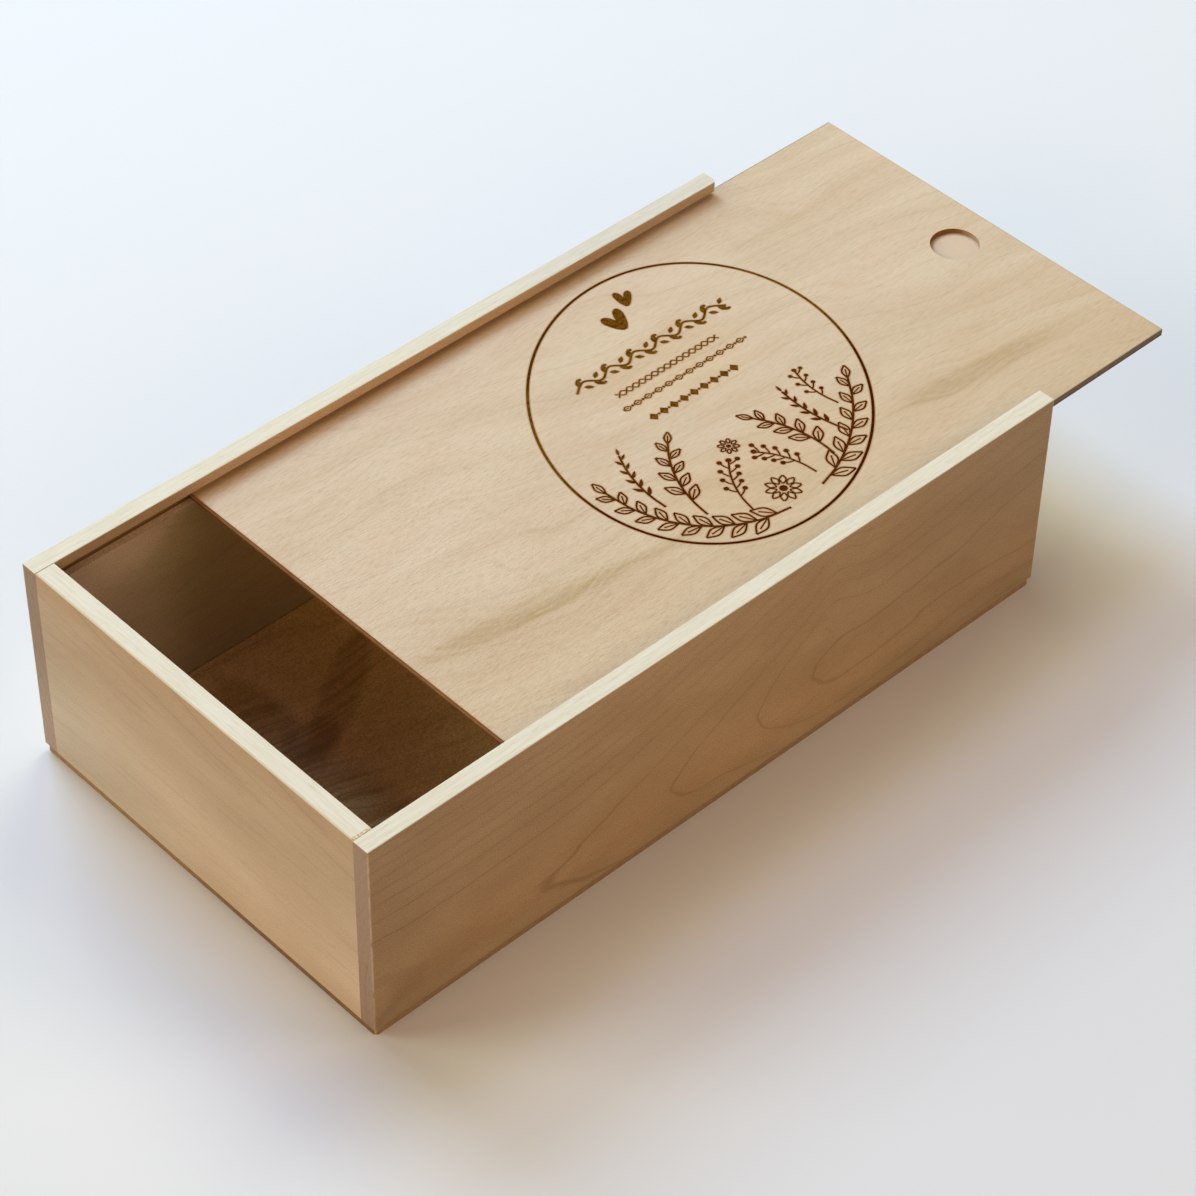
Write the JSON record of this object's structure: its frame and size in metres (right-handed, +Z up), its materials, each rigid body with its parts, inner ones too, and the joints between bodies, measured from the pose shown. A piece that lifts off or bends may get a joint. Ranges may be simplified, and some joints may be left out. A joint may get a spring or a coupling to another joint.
{
  "type": "keepsake box with sliding lid",
  "caption": "Flat rectangular wooden box on a plywood base, with a thin plywood lid that slides in side grooves, a round thumb recess and an engraved ring on the lid.",
  "frame": {"origin": "middle of the underside of the base panel, with the lid's own overhang left out", "axes": "+X the way the lid slides open, from the closed end board to the low one; +Y towards the left long board; +Z up out of the box"},
  "size_m": [0.4326, 0.2, 0.101],
  "materials": {
    "board_wood": "bare planed light softwood with dark growth lines",
    "end_wood": "bare planed light softwood, straight fine grain",
    "lid_wood": "bare sanded pale veneer with laser-burnt line ornament",
    "ply_skin": "bare sanded plywood veneer",
    "ply_core": "laser-cut plywood core, edges scorched dark",
    "brad_steel": "bright drawn wire brads"
  },
  "bodies": {
    "box": {"side_board_left": "board_wood", "side_board_right": "board_wood", "end_board_closed": "end_wood", "end_board_low": "end_wood", "base_bottom_ply": "ply_skin", "base_core_ply": "ply_core", "base_top_ply": "ply_skin", "base_brads": "brad_steel"},
    "lid": {"lid_face_ply": "lid_wood", "lid_core_ply": "ply_core", "lid_back_ply": "ply_skin"}
  },
  "joints": [
    {"name": "lid_slide", "type": "slide", "parent": "box", "child": "lid", "axis": [1, 0, 0], "range_m": [-0.0726, 0.28]}
  ]
}
